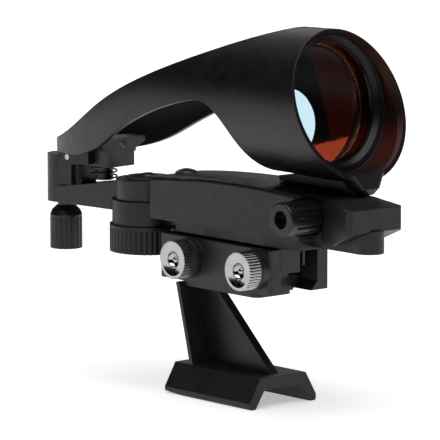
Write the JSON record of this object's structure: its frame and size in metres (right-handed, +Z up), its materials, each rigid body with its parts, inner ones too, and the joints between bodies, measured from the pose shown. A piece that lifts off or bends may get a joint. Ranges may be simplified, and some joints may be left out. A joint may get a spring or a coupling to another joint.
{
  "type": "red dot finder",
  "caption": "Telescope red dot finder: curved hood arm with a coated lens and tail light source, on a two-axis adjustable base clamped to a dovetail pedestal bracket.",
  "frame": {"origin": "centre of the pedestal foot's underside", "axes": "+X the way the finder points, +Y the finder's left, away from its knobs, +Z up"},
  "size_m": [0.1608, 0.0566, 0.1249],
  "materials": {
    "black_plastic": "satin black, fine texture",
    "black_trim": "satin black, smooth",
    "ring_black": "semi-gloss black",
    "chrome": "polished",
    "steel": "machined",
    "brass": "machined",
    "coated_glass": "red-reflecting coating",
    "clear_glass": "clear",
    "red_emitter": "clear red",
    "board": "green solder mask",
    "dark_steel": "blackened"
  },
  "bodies": {
    "pedestal": {"pedestal_bracket": "black_plastic"},
    "base": {"base_housing": "black_plastic", "clamp_base": "black_plastic", "clamp_inserts": "brass", "clamp_screws": "steel", "bottom_cover": "black_plastic", "cover_screws": "steel", "cover_plug": "black_trim", "pivot_washer": "dark_steel", "pivot_screw": "dark_steel", "switch_board": "board", "cell_contact": "brass", "azimuth_bush": "brass"},
    "jaw": {"clamp_jaw": "black_plastic"},
    "front_thumbscrew": {"thumbscrew_front": "chrome"},
    "rear_thumbscrew": {"thumbscrew_rear": "chrome"},
    "dial": {"brightness_dial": "black_plastic", "battery_cap": "black_trim", "coin_cell": "steel", "dial_wiper": "brass"},
    "azimuth_drive": {"azimuth_knob": "black_trim", "azimuth_screw": "steel"},
    "swing": {"swing_lever": "black_plastic", "azimuth_nut": "brass", "altitude_bush": "brass", "altitude_spring": "dark_steel"},
    "altitude_drive": {"altitude_knob": "black_trim", "altitude_knob_nut": "brass"},
    "altitude_lift": {"altitude_screw": "steel"},
    "arm": {"hood_shell": "black_plastic", "hinge_pin": "steel", "lens": "coated_glass", "lens_ring": "ring_black", "lens_spacer": "brass", "led_housing": "black_trim", "led_screws": "steel", "led": "red_emitter", "reticle_window": "clear_glass"}
  },
  "joints": [
    {"name": "rail_slide", "type": "slide", "parent": "pedestal", "child": "base", "axis": [1, 0, 0], "range_m": [-0.01, 0.01]},
    {"name": "jaw_slide", "type": "slide", "parent": "base", "child": "jaw", "axis": [0, -1, 0], "range_m": [0, 0.0021]},
    {"name": "front_thumbscrew_turn", "type": "hinge", "parent": "jaw", "child": "front_thumbscrew", "pos_m": [0.0225, -0.018, 0.0468], "axis": [0, -1, 0], "range_deg": [0, 1082]},
    {"name": "rear_thumbscrew_turn", "type": "hinge", "parent": "jaw", "child": "rear_thumbscrew", "pos_m": [-0.0102, -0.018, 0.0468], "axis": [0, -1, 0], "range_deg": [0, 1082]},
    {"name": "dial_turn", "type": "hinge", "parent": "base", "child": "dial", "pos_m": [-0.0473, 0, 0.048], "axis": [0, 0, 1], "range_deg": [0, 300]},
    {"name": "azimuth_knob_turn", "type": "hinge", "parent": "base", "child": "azimuth_drive", "pos_m": [0.0421, -0.012, 0.0658], "axis": [0, 1, 0], "range_deg": [-3501, 0]},
    {"name": "azimuth_swing", "type": "hinge", "parent": "base", "child": "swing", "pos_m": [-0.0473, 0, 0.065], "axis": [0, 0, 1], "range_deg": [-6.2, 0]},
    {"name": "altitude_knob_turn", "type": "hinge", "parent": "swing", "child": "altitude_drive", "pos_m": [-0.08712, -0.00383, 0.048], "axis": [0, 0, 1], "range_deg": [0, 441]},
    {"name": "altitude_screw_slide", "type": "slide", "parent": "swing", "child": "altitude_lift", "axis": [0, 0, -1], "range_m": [0, 0.00087]},
    {"name": "altitude_tilt", "type": "hinge", "parent": "swing", "child": "arm", "pos_m": [-0.07736, -0.0029, 0.0739], "axis": [0.0958, -0.9954, 0], "range_deg": [0, 5], "deforming": ["altitude_spring"]}
  ],
  "couplings": [
    {"joint": "front_thumbscrew_turn", "follows": "jaw_slide", "rad_per_m": 8976},
    {"joint": "rear_thumbscrew_turn", "follows": "jaw_slide", "rad_per_m": 8976},
    {"joint": "azimuth_knob_turn", "follows": "azimuth_swing", "ratio": 564.23},
    {"joint": "altitude_knob_turn", "follows": "altitude_tilt", "ratio": 87.965},
    {"joint": "altitude_screw_slide", "follows": "altitude_tilt", "m_per_rad": 0.0098}
  ]
}
